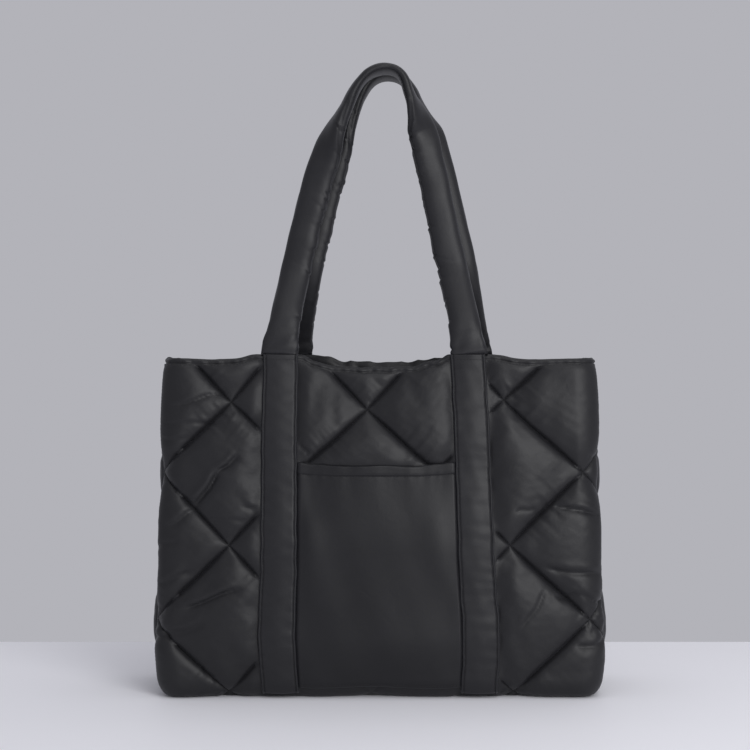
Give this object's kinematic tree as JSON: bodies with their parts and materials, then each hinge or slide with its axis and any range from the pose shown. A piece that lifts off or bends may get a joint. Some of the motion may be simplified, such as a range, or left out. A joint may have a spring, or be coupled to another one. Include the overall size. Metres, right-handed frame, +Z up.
{
  "type": "puffer tote bag",
  "caption": "Quilted puffer tote bag with padded shoulder handles, flat sewn straps and a plain patch pocket on its front, standing open on a padded base.",
  "frame": {"origin": "on the floor, under the middle of the bag", "axes": "+Z up, +X along the bag's width, and the front with its patch pocket towards -Y"},
  "size_m": [0.4894, 0.164, 0.6866],
  "materials": {
    "quilted_shell": "satin nylon over soft padding",
    "strap_cloth": "satin nylon, folded flat and edge stitched",
    "handle_cloth": "satin nylon over soft padding",
    "pocket_cloth": "satin nylon, unpadded"
  },
  "bodies": {
    "root": {"front_panel": "quilted_shell", "back_panel": "quilted_shell", "left_gusset": "quilted_shell", "right_gusset": "quilted_shell", "base_panel": "quilted_shell", "front_strap_left": "strap_cloth", "front_strap_right": "strap_cloth", "back_strap_left": "strap_cloth", "back_strap_right": "strap_cloth", "front_handle": "handle_cloth", "back_handle": "handle_cloth", "front_pocket": "pocket_cloth"}
  },
  "joints": []
}
